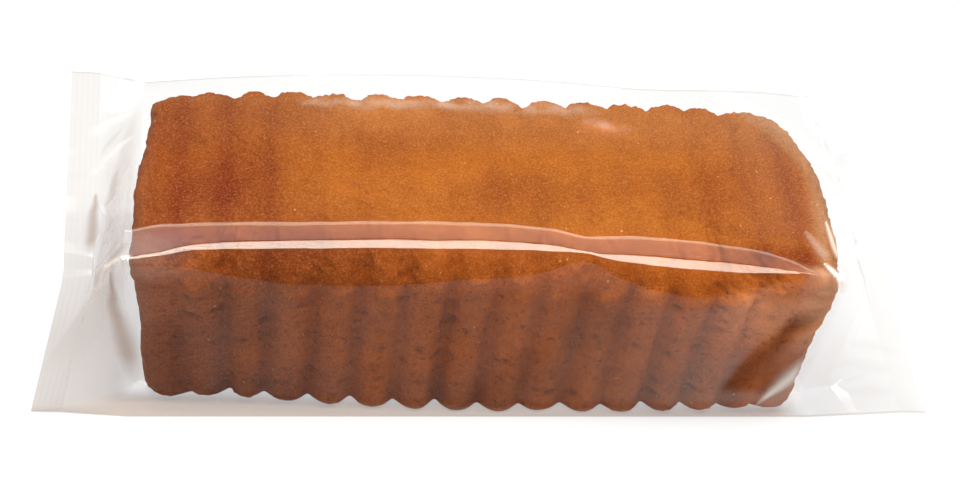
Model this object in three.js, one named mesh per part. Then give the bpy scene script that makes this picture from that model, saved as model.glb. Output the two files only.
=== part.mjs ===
// A fluted loaf of sponge cake sealed in a clear film bag, as one closed solid.
// The bag is a flat tube of film drawn round the loaf: one panel covers the front
// wall and the top, the other the back wall and the underside. The two panels meet
// in a fold along the front foot, in a fold along the back top edge, and in a flat
// seal beyond each end of the loaf.
// Millimetres, +Z up. The origin is on the rest face under the middle of the loaf,
// +X runs along the loaf and the front wall faces -Y.

import * as THREE from 'three';

const { clamp, lerp, smoothstep } = THREE.MathUtils;

// Loaf: flutes, ends, the reach of its front and back walls, and its height
const FLUTE_PITCH = 15;
const FLUTE_COUNT = 16;
const FLUTE_DEPTH = 4;
const FLUTE_FADE = 11;
const LOAF_LEFT_END = -121;
const LOAF_RIGHT_END = 122.5;
const LOAF_FRONT = 44.5;
const LOAF_BACK = 45.5;
const LOAF_HEIGHT = 71.6;
const CROWN_RISE = 4;
const WALL_TAPER = 3;
const BACK_FOOT_RADIUS = 5;

// Round plan corners at the back: their radius, and how far the film follows them
const BACK_CORNER_RADIUS = 13;
const BACK_CORNER_REACH = 12.5;

// Front top edge: its radius, and the tighter one that it takes towards the right corner
const TOP_EDGE_RADIUS = 13;
const CORNER_EDGE_RADIUS = 4;
const CORNER_EDGE_START = 75;
const CORNER_EDGE_FULL = 110;

// Bulge of the front foot: depth, middle and half length along the loaf, and height
const FOOT_BULGE = 2.6;
const FOOT_BULGE_MIDDLE = 12;
const FOOT_BULGE_REACH = 98;
const FOOT_BULGE_HEIGHT = 40;

// Front fold of the film: thickness, place, and slant along the loaf
const FILM_THICKNESS = 1.2;
const FRONT_FOLD_Y = -44.9;
const FRONT_FOLD_SLANT = 0.02;
const FRONT_FOOT_Z = 2.5;

// Loose back fold: place at the loaf's ends, bow at mid-length, height below which the film
// lies on the wall, inset of the edge where it leaves the top, and lift towards the right
const BACK_FOLD_Y = 46;
const BACK_FOLD_Z = 71.4;
const BACK_FOLD_SPREAD = 4.5;
const BACK_FOLD_RISE = 5.6;
const BACK_FOLD_DROP = 8;
const BACK_FOLD_INSET = 5;
const BACK_LIFT_START = 50;
const BACK_LIFT_SPREAD = 5.5;
const BACK_LIFT_RISE = 3;

// Seals: width, and the inner edge of each from the front fold to the back fold
const SEAL_WIDTH = 9.5;
const LEFT_SEAL_FRONT = new THREE.Vector3(-143.5, -46.2, 0.8);
const LEFT_SEAL_MIDDLE = new THREE.Vector3(-131, -35, 54);
const LEFT_SEAL_BACK = new THREE.Vector3(-135.5, 48, 73);
const RIGHT_SEAL_FRONT = new THREE.Vector3(158.5, -40, 0.8);
const RIGHT_SEAL_MIDDLE = new THREE.Vector3(138, -11, 43);
const RIGHT_SEAL_BACK = new THREE.Vector3(129.5, 52.5, 74.3);

// Mesh steps
const STEPS_PER_FLUTE = 8;
const LOBE_STEPS = 5;
const WALL_STEPS = 6;
const EDGE_STEPS = 4;
const TOP_STEPS = 9;
const FOOT_STEPS = 3;
const END_STEPS = 6;

const CRUST_COLOUR = 0xa8622c;

// Middle and half length of the loaf, and the last crease between two flutes
const LOAF_MIDDLE = (LOAF_LEFT_END + LOAF_RIGHT_END) / 2;
const LOAF_HALF_LENGTH = (LOAF_RIGHT_END - LOAF_LEFT_END) / 2;
const LAST_CREASE = (FLUTE_COUNT / 2 - 1) * FLUTE_PITCH;

// Set-back of a wall from its crests: round lobes with a crease between each two.
function fluteInset(x) {
  const flute = x / FLUTE_PITCH + FLUTE_COUNT / 2;
  const fromCrest = 2 * Math.abs(flute - Math.floor(flute) - 0.5);
  const fade = 1 - smoothstep(Math.abs(x), LAST_CREASE, LAST_CREASE + FLUTE_FADE);
  return FLUTE_DEPTH * fromCrest ** 2 * fade;
}

// Set-back of the walls at a height from their reach at the top.
function wallTaper(z) {
  return WALL_TAPER * (1 - clamp(z / LOAF_HEIGHT, 0, 1));
}

// Bulge of the front foot at a place along the loaf and a height.
function footBulge(x, z) {
  const along = 1 - Math.min(1, ((x - FOOT_BULGE_MIDDLE) / FOOT_BULGE_REACH) ** 2);
  return FOOT_BULGE * along * (1 - clamp(z / FOOT_BULGE_HEIGHT, 0, 1)) ** 2;
}

// Place of the front wall in a section.
function frontWallY(x, z) {
  return -LOAF_FRONT + wallTaper(z) - footBulge(x, z) + fluteInset(x);
}

// Set-back of the back wall where the film turns round the loaf's back corners.
function backCornerInset(x) {
  const end = x > 0 ? LOAF_RIGHT_END : -LOAF_LEFT_END;
  const past = clamp(Math.abs(x) - end + BACK_CORNER_RADIUS, 0, BACK_CORNER_REACH);
  return BACK_CORNER_RADIUS - Math.sqrt(BACK_CORNER_RADIUS ** 2 - past ** 2);
}

// Share of the bow that the crown and the loose fold have at a place along the loaf.
function bow(x) {
  return 1 - Math.min(1, ((x - LOAF_MIDDLE) / LOAF_HALF_LENGTH) ** 2);
}

// Points of an arc in a section, angles measured from +Y towards +Z.
function arcPoints(centreY, centreZ, radius, startAngle, endAngle, steps) {
  const points = [];
  for (let i = 0; i <= steps; i += 1) {
    const angle = lerp(startAngle, endAngle, i / steps);
    points.push([centreY + radius * Math.cos(angle), centreZ + radius * Math.sin(angle)]);
  }
  return points;
}

// Points of a straight run in a section, both ends included.
function straightPoints(start, end, steps) {
  const points = [];
  for (let i = 0; i <= steps; i += 1) {
    points.push([lerp(start[0], end[0], i / steps), lerp(start[1], end[1], i / steps)]);
  }
  return points;
}

// The fold along the front foot, flat on the rest face.
function frontFoldY(x) {
  return FRONT_FOLD_Y + FRONT_FOLD_SLANT * x;
}

// The loose fold along the back top edge, where the two panels meet.
function backFold(x) {
  const lift = smoothstep(x, BACK_LIFT_START, LOAF_RIGHT_END);
  const y = BACK_FOLD_Y + BACK_FOLD_SPREAD * bow(x) + BACK_LIFT_SPREAD * lift;
  const z = BACK_FOLD_Z + BACK_FOLD_RISE * bow(x) + BACK_LIFT_RISE * lift;
  return [y, z];
}

// Front panel of a section: from the front fold up the wall and over the top.
function frontPanel(x) {
  const towardsCorner = smoothstep(x, CORNER_EDGE_START, CORNER_EDGE_FULL);
  const radius = lerp(TOP_EDGE_RADIUS, CORNER_EDGE_RADIUS, towardsCorner);
  const topZ = LOAF_HEIGHT + CROWN_RISE * bow(x);
  const edgeZ = topZ - radius;
  const wall = straightPoints([0, FRONT_FOOT_Z], [0, edgeZ], WALL_STEPS);
  wall.forEach((point) => { point[0] = frontWallY(x, point[1]); });
  const edgeY = -LOAF_FRONT + radius;
  const edge = arcPoints(edgeY, edgeZ, radius, Math.PI, Math.PI / 2, EDGE_STEPS);
  edge.forEach((point, i) => { point[0] += fluteInset(x) * (1 - i / EDGE_STEPS); });
  const topBack = [LOAF_BACK - BACK_FOLD_INSET, topZ];
  return [
    [frontFoldY(x), FILM_THICKNESS],
    ...wall,
    ...edge.slice(1),
    ...straightPoints([edgeY, topZ], topBack, TOP_STEPS).slice(1),
    backFold(x),
  ];
}

// Back panel of a section: from the front fold along the underside and up the back.
function backPanel(x) {
  const wallY = LOAF_BACK - fluteInset(x) - backCornerInset(x);
  const [foldY, foldZ] = backFold(x);
  const footY = wallY - wallTaper(0) - BACK_FOOT_RADIUS;
  const foot = arcPoints(footY, BACK_FOOT_RADIUS, BACK_FOOT_RADIUS, -Math.PI / 2, 0, FOOT_STEPS);
  const wallTopZ = LOAF_HEIGHT - BACK_FOLD_DROP;
  const wallTop = [wallY - wallTaper(wallTopZ), wallTopZ];
  return [
    ...straightPoints([frontFoldY(x), 0], [footY, 0], TOP_STEPS),
    ...foot.slice(1),
    ...straightPoints(foot.at(-1), wallTop, WALL_STEPS).slice(1),
    [foldY, foldZ - FILM_THICKNESS],
  ];
}

// Share of a panel's length at each of its points.
function lengthShares(points) {
  const lengths = [0];
  for (let i = 1; i < points.length; i += 1) {
    const step = Math.hypot(points[i][0] - points[i - 1][0], points[i][1] - points[i - 1][1]);
    lengths.push(lengths[i - 1] + step);
  }
  return lengths.map((length) => length / lengths.at(-1));
}

// A ring round the body at one place: the front panel, then the back panel returning.
function bodyRing(x) {
  const outline = [...frontPanel(x), ...backPanel(x).reverse()];
  return outline.map(([y, z]) => new THREE.Vector3(x, y, z));
}

// A ring round a seal: both panels on one curve, the film's thickness apart.
function sealRing(seal, frontShares, backShares) {
  const place = (share, side) => {
    const tangent = seal.getTangent(share);
    const normal = new THREE.Vector3(0, -tangent.z, tangent.y).normalize();
    return seal.getPoint(share).addScaledVector(normal, side * FILM_THICKNESS / 2);
  };
  const front = frontShares.map((share) => place(share, 1));
  const back = backShares.map((share) => place(share, -1));
  return [...front, ...back.reverse()];
}

// Rings from the loaf's end out to the seal's outer edge, the ring at the loaf left out.
function endRings(loafEnd, seal) {
  const bodyEnd = bodyRing(loafEnd);
  const inner = sealRing(seal, lengthShares(frontPanel(loafEnd)), lengthShares(backPanel(loafEnd)));
  const rings = [];
  for (let i = 1; i <= END_STEPS; i += 1) {
    rings.push(bodyEnd.map((point, j) => point.clone().lerp(inner[j], i / END_STEPS)));
  }
  const outward = new THREE.Vector3(Math.sign(loafEnd) * SEAL_WIDTH, 0, 0);
  rings.push(inner.map((point) => point.clone().add(outward)));
  return rings;
}

// A closed surface through rings of equal count, ordered along +X, each end closed by
// a strip across its ring from the front panel's points to the back panel's.
function closedLoft(rings, frontCount) {
  const count = rings[0].length;
  const positions = rings.flat().flatMap((point) => point.toArray());
  const index = [];
  for (let i = 0; i < rings.length - 1; i += 1) {
    for (let j = 0; j < count; j += 1) {
      const next = (j + 1) % count;
      const [a, b] = [i * count + j, i * count + next];
      index.push(a, b + count, b, a, a + count, b + count);
    }
  }
  const closeEnd = (first, flipped) => {
    let front = 0;
    let back = count - 1;
    while (back - front > 1) {
      const advanceFront = front / (frontCount - 1) <= (count - 1 - back) / (count - 1 - frontCount);
      const third = advanceFront ? front + 1 : back - 1;
      const corners = [first + front, first + back, first + third];
      index.push(...(flipped ? corners.reverse() : corners));
      if (advanceFront) front += 1;
      else back -= 1;
    }
  };
  closeEnd(0, true);
  closeEnd((rings.length - 1) * count, false);
  const geometry = new THREE.BufferGeometry();
  geometry.setAttribute('position', new THREE.Float32BufferAttribute(positions, 3));
  geometry.setIndex(index);
  geometry.computeVertexNormals();
  return geometry;
}

// Places of the body's rings: even steps between the last creases, then the end lobes.
function bodyStations() {
  const stations = [];
  const steps = (FLUTE_COUNT - 2) * STEPS_PER_FLUTE;
  for (let i = 0; i <= steps; i += 1) {
    stations.push(lerp(-LAST_CREASE, LAST_CREASE, i / steps));
  }
  for (let i = 1; i <= LOBE_STEPS; i += 1) {
    stations.push(lerp(LAST_CREASE, LOAF_RIGHT_END, i / LOBE_STEPS));
    stations.unshift(lerp(-LAST_CREASE, LOAF_LEFT_END, i / LOBE_STEPS));
  }
  return stations;
}

function baggedCake() {
  const leftSeal = new THREE.CatmullRomCurve3([LEFT_SEAL_FRONT, LEFT_SEAL_MIDDLE, LEFT_SEAL_BACK]);
  const rightSeal = new THREE.CatmullRomCurve3([RIGHT_SEAL_FRONT, RIGHT_SEAL_MIDDLE, RIGHT_SEAL_BACK]);
  const rings = [
    ...endRings(LOAF_LEFT_END, leftSeal).reverse(),
    ...bodyStations().map(bodyRing),
    ...endRings(LOAF_RIGHT_END, rightSeal),
  ];
  const geometry = closedLoft(rings, frontPanel(0).length);
  const material = new THREE.MeshStandardMaterial({ color: CRUST_COLOUR, roughness: 0.45, metalness: 0 });
  const mesh = new THREE.Mesh(geometry, material);
  mesh.name = 'bagged_cake';
  return mesh;
}

const group = new THREE.Group();
group.add(baggedCake());

export default group;
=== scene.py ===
"""A fluted loaf of sponge cake sealed in a clear film bag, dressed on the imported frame.

Shapes are worked out in millimetres in the frame's axes: +X along the loaf, the front
wall towards -Y, +Z up, the origin on the floor under the middle of the loaf.
"""
import math

import bpy
import numpy as np
from mathutils import Matrix


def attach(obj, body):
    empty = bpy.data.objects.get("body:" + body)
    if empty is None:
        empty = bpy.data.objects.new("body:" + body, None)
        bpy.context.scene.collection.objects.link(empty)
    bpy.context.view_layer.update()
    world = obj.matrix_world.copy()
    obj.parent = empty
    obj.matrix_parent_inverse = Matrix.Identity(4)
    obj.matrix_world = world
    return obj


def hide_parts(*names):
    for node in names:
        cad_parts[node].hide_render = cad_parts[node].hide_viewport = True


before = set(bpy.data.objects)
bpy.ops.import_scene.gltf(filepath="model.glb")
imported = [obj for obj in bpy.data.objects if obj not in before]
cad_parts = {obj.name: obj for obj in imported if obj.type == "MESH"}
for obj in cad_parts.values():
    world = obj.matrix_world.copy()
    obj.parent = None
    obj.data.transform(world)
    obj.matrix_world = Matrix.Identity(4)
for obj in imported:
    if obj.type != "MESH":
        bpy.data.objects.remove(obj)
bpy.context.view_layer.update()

MM = 0.001
SEED = 7

# Loaf, in millimetres
FLUTE_PITCH = 15.0
FLUTE_COUNT = 16
FLUTE_DEPTH = 4.0
FRONT_HALF = 44.0
BACK_HALF = 45.2
LOAF_HEIGHT = 70.6
BACK_RISE = 1.2
BACK_RIGHT_RISE = 1.2
BACK_RIGHT_SPAN = (35.0, 75.0)
CROWN_RISE = 4.0
BACK_FLATNESS = 0.4
CROSS_CROWN = 0.6
LEFT_END = -119.3
RIGHT_END = 116.2
LEFT_BULGE = 0.4
LEFT_SLANT = 2.6
LEFT_SLANT_REACH = 32.0
RIGHT_BULGE = 6.8
RIGHT_CREST = 12.0
FOOT_PUSH = 2.6
FOOT_PUSH_MIDDLE = 12.0
FOOT_PUSH_REACH = 98.0
FOOT_PUSH_HEIGHT = 40.0
SIDE_TAPER = {"front": 3.0, "back": 3.0, "left": 6.0, "right": 4.0}
TOP_EDGE = {"front": 20.0, "back": 6.0, "left": 6.0, "right": 12.0}
FOOT_EDGE = {"front": 5.0, "back": 5.0, "left": 6.0, "right": 6.0}
LOAF_LIFT = 0.5
LOAF_WELD = 0.02

# Shares by which the front top edge gets tighter to the right, and the foot where it bulges
TIGHTER_EDGE = 0.45
TIGHTER_EDGE_SPAN = (70.0, 112.0)
TIGHTER_FOOT = 0.7

# Flutes over the top edge and under the loaf: share of their depth, drop, and how far they run
GROOVE_ON_TOP = 0.5
GROOVE_DROP = 0.25
GROOVE_FADE_ON_TOP = 20.0
GROOVE_FADE_UNDER = 10.0

# Hollow of the loaf's front wall under the narrowest place of the film's gloss line
DENT_DEPTH = 1.2
DENT_X = 26.5
DENT_REACH = 9.0

# Unevenness of the crust: heights and lengths of its waves, and how deep it lies under the film
FLUTE_VARIATION = (0.14, 34.0)
SWELLS_AND_LUMPS = ((0.35, 26.0), (0.18, 8.0))
COARSE_CRUMB = (0.26, 2.7)
SMOOTHER_CRUMB = 0.14
CRUST_SINK = 0.45

# How far the crust may stand up under the film: everywhere, at the back top edge and at the ends
CRUST_ROOM = 0.12
BACK_ROOM = 0.5
END_ROOM = 0.2

# Torn pits of the walls: count, then ranges of their places, sizes and depths
PIT_COUNT = 150
PIT_X = (-112.0, 86.0)
PIT_Y = 42.0
PIT_Z = (5.0, 54.0)
PIT_LENGTH = (1.0, 2.6)
PIT_ACROSS = 8.0
PIT_HEIGHT = (0.6, 1.1)
PIT_DEPTH = (0.35, 1.0)

# Bent line on the front wall past which the film clings: x at the foot, lean and bend
SLANT_LINE = (84.8, 0.0215, 0.0058)

# Painted highlight strip of film by the foot of the right corner, and how the right end turns in at the
# back
STRIP_FOOT = 98.0
STRIP_STEEPNESS = 2.0
RIGHT_TURN = 0.011

# Distances of the painted shade band past the bent line, and of the pale shoulder's edge from the right
# end
SHADE_BAND = 6.0
PALE_SHOULDER = (6.0, 12.5)

# Middle and width of a browner band along the right end, a pale band, and a painted highlight patch on
# the top
RIGHT_TOP_BAND = (17.0, 7.0)
PALE_BAND_Y = (36.5, 4.0)
HIGHLIGHT_PATCH_X = (42.0, 7.0)
HIGHLIGHT_PATCH_Y = (27.5, 3.0)

# Plan corners of the loaf: reach along and across, and roundness, where 2 is an ellipse
CORNERS = {
    "front_right": (7.0, 7.0, 2.0),
    "back_right": (21.0, 31.0, 1.7),
    "back_left": (23.0, 9.0, 1.25),
    "front_left": (9.0, 9.0, 2.0),
}

# Loaf mesh: points of half the outline, its corners and its ends, and rings of each stretch
HALF_POINTS = 370
CORNER_POINTS = 40
END_POINTS = 60
TOP_RINGS = 30
EDGE_RINGS = 20
WALL_RINGS = 44
FOOT_RINGS = 7
UNDER_RINGS = 6

# Film bag, in millimetres
FILM_GAP = 0.5
FILM_WELD = 0.001
FILM_SAG = 0.5
SEAL_WIDTH = 9.5
SEAL_THICKNESS = 0.3
FRONT_FOLD = -44.9
FRONT_FOLD_SLANT = 0.02
LEFT_LEAVE = -121.2
RIGHT_LEAVE = 122.5
LEFT_SEAL = ((-143.5, -46.2, 0.6), (-131.0, -35.0, 54.0), (-135.5, 48.0, 73.0))
RIGHT_SEAL = ((158.5, -40.0, 0.6), (138.0, -11.0, 43.0), (129.5, 52.5, 74.3))

# Loose back fold: size out and up at the loaf's ends, more at mid-length, more to the right from an x
BACK_FOLD_OUT = (0.8, 4.5, 5.5)
BACK_FOLD_UP = (0.8, 5.6, 3.0)
BACK_FOLD_LIFT = 50.0

# Where the film leaves the loaf's top and back wall for that fold, its curve, and the back corners
BACK_FOLD_START = 6.0
BACK_WALL_DROP = 8.0
FOLD_CURVE = 1.6
CORNER_RADIUS = 13.0

# Foot of the film: heights of fold, foot and underside, gap to the loaf, and where its sag fades
FRONT_FOLD_Z = 0.15
FRONT_FOOT_Z = 2.2
UNDERSIDE_Z = 0.1
FRONT_FOOT_GAP = 0.8
SAG_FADE = (92.0, 104.0)

# Waves of the film, each with its height and length, and their shares at a seal's two edges
TIGHT_WAVES = ((0.12, 45.0), (0.03, 14.0))
SLACK_WAVES = ((0.3, 19.0), (0.04, 6.0))
SEAL_WAVES = ((0.5, 24.0), (0.2, 8.0))
INNER_RIPPLE = 0.5
OUTER_RIPPLE = 1.6

# Brow of the film: x, y of its ridge, radius below and above, extra share on it, shelf behind it
BROW = (
    (-121.2, -42.0, 1.5, 5.0, -0.75, 9.0),
    (-110.0, -39.6, 2.6, 11.0, -0.5, 7.5),
    (-100.0, -37.0, 6.0, 15.0, -0.1, 2.5),
    (-85.0, -36.3, 12.0, 18.0, 0.1, 1.0),
    (-70.0, -36.0, 16.0, 19.0, 0.15, 0.0),
    (-37.0, -35.0, 18.0, 19.0, 0.25, 0.0),
    (0.0, -34.7, 12.0, 19.0, 0.25, 0.0),
    (17.0, -35.2, 7.0, 18.0, 0.0, 0.0),
    (23.0, -36.2, 3.0, 17.0, -0.6, 0.5),
    (28.0, -37.3, 1.0, 16.0, -1.3, 1.0),
    (33.0, -37.9, 3.0, 17.0, -0.6, 1.0),
    (39.0, -38.4, 6.0, 17.0, 0.2, 1.0),
    (50.0, -39.0, 10.0, 18.0, 0.55, 1.0),
    (66.0, -39.5, 13.0, 18.0, 0.6, 1.0),
    (82.0, -40.3, 7.0, 16.0, 0.6, 1.0),
    (91.0, -40.8, 3.0, 15.0, 0.0, 0.5),
    (98.0, -41.3, 1.2, 10.0, -0.4, 0.5),
    (103.0, -41.9, 0.4, 2.0, -0.8, 0.0),
    (107.0, -42.4, 0.3, 0.3, -0.9, 0.0),
    (122.5, -43.2, 0.3, 0.3, -0.9, 0.0),
)

# Length over which the brow is blended, and the leans between which its radius changes
BROW_BLEND = 2.5
RADIUS_LEAN = (52.0, 60.0)

# Lean of the film, in degrees from upright, at the parts of the brow, and the spread of each
WALL_LEAN = (15.0, 3.0)
RIDGE_LEAN = (65.0, 6.0)
SHELF_LEAN = (77.0, 6.0)
CREST_LEAN = (87.0, 1.2)
CREST_LENGTH = 1.0

# Film mesh: points below and above the bend of each panel, and stations along the bag
LOW_POINTS = 64
HIGH_POINTS = 96
BODY_STATIONS = 201
TENT_STATIONS = 26
SEAL_STATIONS = 15
STROKE_STEPS = 60

# Painted highlights and reflections on the film, as white strokes: places along it, width near its start
# and near its end, strength
PAINTED_HIGHLIGHTS = (
    (((-66, 34, 75), (-38, 35, 75), (-8, 36, 75)), 3.5, 3.5, 0.11),
    (((-22, 35, 75), (10, 36, 75), (42, 35, 75)), 3.5, 4.5, 0.12),
    (((35, 28, 76), (54, 26, 75)), 5.0, 0.6, 0.09),
    (((117, -43, 35), (99.5, -42.5, 4)), 6.0, 0.5, 0.95),
    (((109.5, -37, 72.5), (113.5, -42.5, 72), (116, -44.5, 66)), 0.9, 1.2, 1.0),
    (((115, -15, 72.5), (115, -35, 72)), 0.7, 1.1, 0.5),
    (((106, -22, 73), (111, -35, 72.5)), 1.5, 2.2, 0.16),
    (((-118, -41, 70.5), (-122.5, -39.5, 67.5), (-127, -37, 61.5), (-136, -36, 40)), 0.8, 1.4, 0.7),
    (((-122.5, 39, 73.5), (-135, 32, 70)), 1.2, 2.4, 0.3),
    (((-122, 28.5, 73), (-138, 21.5, 67)), 1.0, 2.2, 0.3),
    (((-121, 15, 73), (-135.5, 5, 63)), 1.0, 2.0, 0.25),
)

# Painted shade on the film, as grey strokes, given in the same way
PAINTED_SHADE_STROKES = (
    (((-132.5, -3, 61.5), (-132.5, -26, 56)), 1.4, 2.8, 0.95),
    (((-125.5, 2, 69), (-129.5, -12.5, 62)), 1.6, 2.6, 0.42),
    (((-125.5, 21.5, 71), (-133, 10.5, 65)), 1.4, 2.2, 0.28),
    (((-124, -39.5, 63), (-124.5, -42, 49), (-121, -43, 32), (-118, -43.5, 10)), 1.8, 6.0, 1.0),
    (((-119, -36, 71), (-127, -37, 61), (-132, -36, 50)), 2.0, 2.6, 0.6),
    (((-131, -42, 34), (-126, -44.5, 8)), 6.0, 8.0, 0.25),
    (((-118, -30.5, 73), (-132.5, -33, 51.5), (-139.5, -42, 21), (-143.5, -46, 1)), 0.9, 1.2, 0.42),
    (((125, -40.5, 39), (159, -25, 15)), 2.0, 2.6, 0.12),
    (((126, -40, 28), (156, -30, 11)), 3.2, 2.2, 0.12),
    (((121, -42.5, 15), (158, -35.5, 6)), 2.6, 2.6, 0.12),
    (((122.5, -43.5, 66), (123.5, -43, 6)), 2.0, 4.0, 0.12),
    (((118, 13, 73), (140, 3.5, 50)), 1.8, 1.4, 0.2),
)

# Tension creases of the film: start, end, width, height
LEFT_KNOT = (-126.5, -36.0, 58.5)
CREASES = (
    ((107, -27, 72), (121, -47, 66), 1.1, 0.8),
    ((112, -12, 73), (120, -43, 68), 1, -0.4),
    ((117, -16, 71), (124, -40, 64), 1.2, 0.8),
    ((112.5, -45.5, 35), (95, -45, 5), 1.8, 1.6),
    ((122, -44, 5), (156, -39, 5), 1.7, 1),
    ((121, -44, 10), (154, -36, 9), 1.5, -1.1),
    ((121, -44, 16), (151, -32, 15), 1.6, 1.2),
    ((122, -43, 23), (149, -28, 20), 1.4, -1),
    ((122, -42, 30), (146, -23, 27), 1.5, 1),
    ((-119, -29, 71), LEFT_KNOT, 1.8, 0.7),
    ((-119, -43.5, 64), LEFT_KNOT, 1.8, 0.7),
    (LEFT_KNOT, (-134, -36, 51), 2, 0.8),
    ((-124, -17, 73), (-130, -28, 55), 2, -0.8),
    ((-127, -19, 72), (-133, -23, 50), 2.2, 0.9),
    ((-123.5, -45, 56), (-122, -45, 4), 2.6, -1.4),
)

# Random creases of the bag's ends: count at each end of a panel, and ranges of width and height
LOOSE_CREASES = 12
LOOSE_WIDTH = (1.5, 3.0)
LOOSE_HEIGHT = (0.3, 0.9)

# Painted highlights of the film: the y behind which they are broken, and a painted highlight rim round
# the loaf's right end
BROKEN_FROM = 20.0
SHEEN_RIM = (-5.0, -1.0, 3.0, 11.0)

# Greyness of the film: crimps, seals, with painted shade on the left one, folds, and painted shadow by
# the left end's slanting fold (x, z, steepness) and band
CRIMP_STATIONS = 3
CRIMP_FADE = 0.88
LEFT_SEAL_GREY = 0.3
RIGHT_SEAL_GREY = 0.06
FOLD_GREY = 0.36
LEFT_FOLD_LINE = (-119.4, 70.0, 1.7)
LEFT_GREY_BAND = (63.0, 7.0)

# Painted zones: along each axis, where one starts and is full, and for some where it fades and ends
ZONES = {
    # Unevenness of the crust
    "smooth_left": {"x": (-108, -117)},
    "smooth_corner": {"x": (94, 104), "y": (-30, -38)},
    "roomy_back": {"y": (36, 44), "z": (62, 69)},
    "snug_middle": {"x": (-117, -110, 110, 117)},
    # Colour of the crust
    "left_bake": {"x": (-35, -95)},
    # This zone and the right half make the walls lighter at the right: painted light
    "right_bake_and_painted_light": {"x": (55, 95)},
    "foot_bake": {"z": (34, 8)},
    "brow_bake": {"z": (50, 62)},
    "painted_light_right": {"x": (0, 50)},
    "front_top_bake": {"y": (-26, -34)},
    "back_edge_bake": {"y": (40, 44), "z": (58, 66)},
    # Painted shade: a dark band on the front wall past the bent line
    "shade_band": {"z": (60, 48)},
    "shade_band_middle": {"z": (14, 30)},
    "even_top": {"x": (-90, -50, 50, 90)},
    "pale_upper": {"z": (20, 60)},
    "pale_top": {"z": (60, 68)},
    "pale_back": {"x": (-75, -50, 35, 52)},
    "faded_back": {"y": (4, 34)},
    "faded_right": {"x": (-95, -50)},
    "highlight_right": {"x": (70, 90)},
    # Painted highlight of the crust by the front right corner
    "less_highlight": {"x": (90, 99)},
    "highlight_corner": {"x": (101, 108)},
    "highlight_wall": {"y": (-36, -42), "z": (30, 48)},
    "band_in_highlight": {"z": (60, 50)},
    "gloss_line": {"z": (60, 67)},
    "gloss_line_end": {"x": (98, 107)},
    "patch_on_top": {"z": (60, 66)},
    # Relief of the film
    "film_on_loaf": {"x": (LEFT_LEAVE - 6, LEFT_LEAVE + 2, RIGHT_LEAVE - 2, RIGHT_LEAVE + 6)},
    "flat_film": {"z": (66, 70)},
    "off_floor": {"z": (0.5, 10)},
    # Painted highlights and sheens of the film, as white haze, with some real haze of the double film at
    # the foot
    "off_loaf": {"x": (110.5, 113), "z": (55, 45)},
    "sheen_wall": {"x": (117, 113), "y": (-37, -41)},
    "sheen_right": {"x": (10, 70), "z": (64, 56)},
    "sheen_low": {"x": (60, 84), "z": (44, 28)},
    "sheen_facet": {"x": (99, 107), "z": (48, 58)},
    "sheen_corner": {"x": (97, 101)},
    "haze_and_sheen_foot": {"z": (8, 1)},
    "glint_upper": {"z": (20, 42)},
    "sheen_left": {"x": (-112, -117)},
    "sheen_brow": {"x": (-92, -116), "y": (-28, -36), "z": (60, 66)},
    "over_left_end": {"x": (LEFT_LEAVE - 3, LEFT_LEAVE), "z": (20, 40)},
    "over_right_end": {"z": (62, 68)},
    "sheen_rim": {"y": (-30, -15)},
    "sheen_shoulder": {"x": (76, 100), "y": (-32, -20)},
    # Greyness of the film, mostly painted shade
    "grey_left": {"x": (-119, -125)},
    "grey_left_upper": {"z": (4, 34)},
    "grey_foot": {"x": (122, 108), "y": (-34, -39), "z": (6, 0.5)},
    "grey_right": {"x": (122, 128), "z": (40, 10)},
    "upper_seal": {"z": (25, 66)},
    # Cling of the film
    "slant_wall": {"x": (119, 114), "z": (11, 17)},
    "front_wall": {"y": (-37, -41)},
    "cling_left": {"x": (70, 30), "z": (66, 60)},
    "cling_foot": {"y": (-30, -36), "z": (12, 4)},
    "between_seals": {"x": (-134, -128, 134, 142)},
    "cling_brow": {"y": (-4, -12), "z": (60, 65)},
    "cling_right": {"x": (55, 80)},
    "cling_corner": {"x": (102, 106, 123, 127)},
}

# Baking of the crust: the least, then what each zone adds on the walls and on the top; lighter walls at
# the right are painted light
LEAST_BAKE = 0.22
BAKE = (
    ("left_bake", 0.3, 0.58),
    ("right_bake_and_painted_light", -0.18, 0.25),
    ("foot_bake", 0.2, 0.0),
    ("brow_bake", 0.15, 0.0),
    ("painted_light_right", -0.1, 0.0),
    ("front_top_bake", 0.0, 0.4),
    ("back_edge_bake", 0.3, 0.3),
)

# Painted highlight on the crust of the front right corner: what each zone adds
CORNER_HIGHLIGHT_ZONES = (("highlight_right", 0.75), ("less_highlight", -0.22), ("highlight_corner", 0.2))

# Colours of the crust and the film, and tints that darken or lighten them
TOP_GOLD = (0.33, 0.093, 0.008)
TOP_BROWN = (0.145, 0.0185, 0.0018)
SIDE_LIGHT = (0.455, 0.098, 0.0075)
SIDE_BROWN = (0.142, 0.025, 0.0035)
PALE_CRUST = (0.315, 0.15, 0.068)
# Painted highlight colour of the crust by the front right corner
PAINTED_HIGHLIGHT_CRUST = (0.85, 0.27, 0.07)
LIGHT_GRAIN = (0.61, 0.3, 0.115)
PALE_SPECK = (0.8, 0.44, 0.2)
# Painted shade in the pits and pores
PIT_SHADE = (0.06, 0.017, 0.005)
MOTTLE_TINT = (1.16, 1.22, 1.3)
GRAIN_TINT = (0.72, 0.65, 0.6)
STREAK_TINT = (0.52, 0.46, 0.42)
CLEAR_FILM = (0.958, 0.957, 0.953)
# Grey of crimps and folds, and of painted shade on the film
GREY_FILM = (0.61, 0.51, 0.445)
# White of the painted highlights and sheens on the film
PAINTED_HIGHLIGHT_WHITE = (0.95, 0.84, 0.76)
WHITE = (1.0, 1.0, 1.0)

# Gloss of the film, what grazing angles add to it, and its roughness
FILM_GLOSS = 0.033
GRAZING_GLOSS = 0.8
FILM_ROUGHNESS = 0.04

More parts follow.
